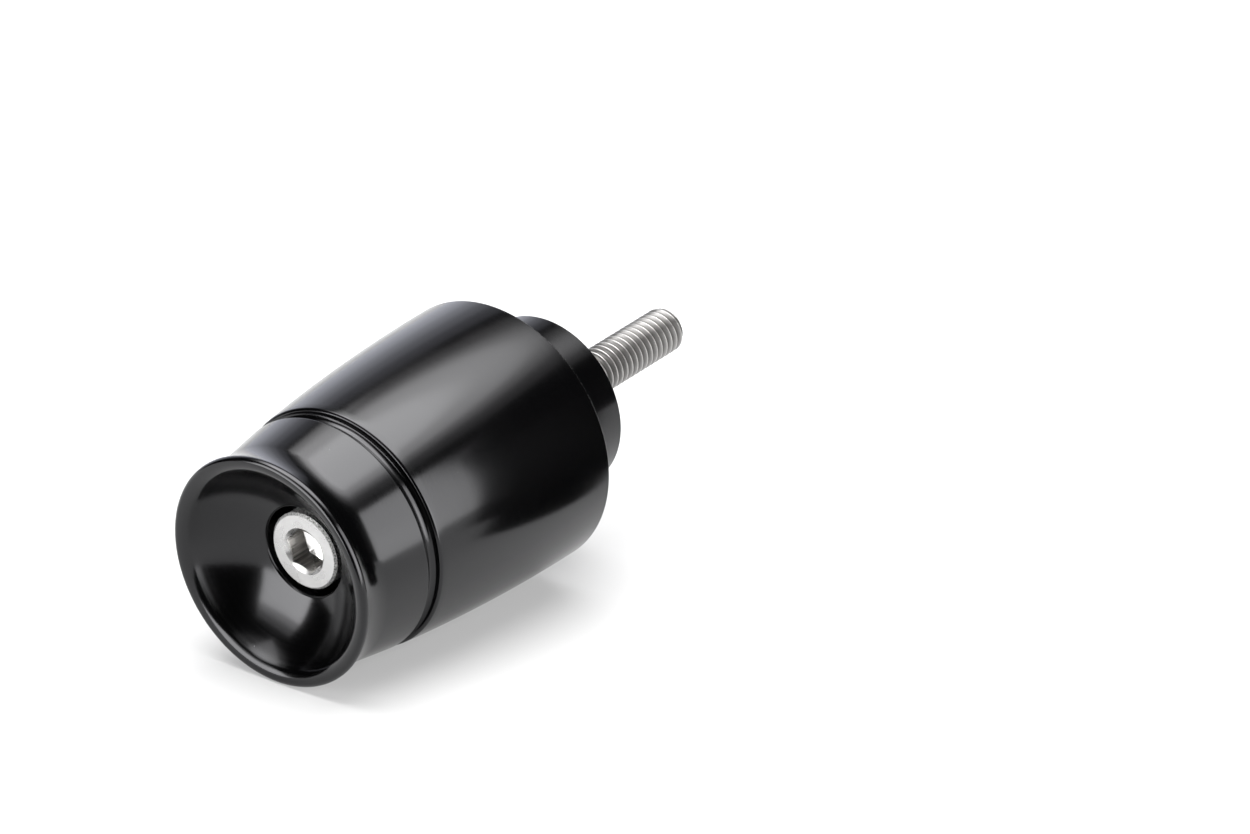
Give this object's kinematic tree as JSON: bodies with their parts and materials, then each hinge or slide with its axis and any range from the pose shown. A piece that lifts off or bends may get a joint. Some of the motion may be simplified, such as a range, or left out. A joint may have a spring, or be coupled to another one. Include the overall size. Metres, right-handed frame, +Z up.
{
  "type": "bar end weight",
  "caption": "Turned motorcycle bar end weight with a dished face, flared rim, groove, domed barrel and a spigot, clamped into the handlebar by a socket cap screw.",
  "frame": {"origin": "on the turning axis, at the shoulder behind the barrel where the spigot starts", "axes": "+Y along the axis from the dish to the screw's tip, as it points into the handlebar; the dish faces -Y; +Z is up with the handlebar level"},
  "size_m": [0.0348, 0.0776, 0.0348],
  "materials": {
    "anodised_black": "gloss black anodised, fine turned",
    "stainless": "bright rolled stainless steel, knurled head"
  },
  "bodies": {
    "root": {"weight_body": "anodised_black", "clamp_screw": "stainless"}
  },
  "joints": []
}
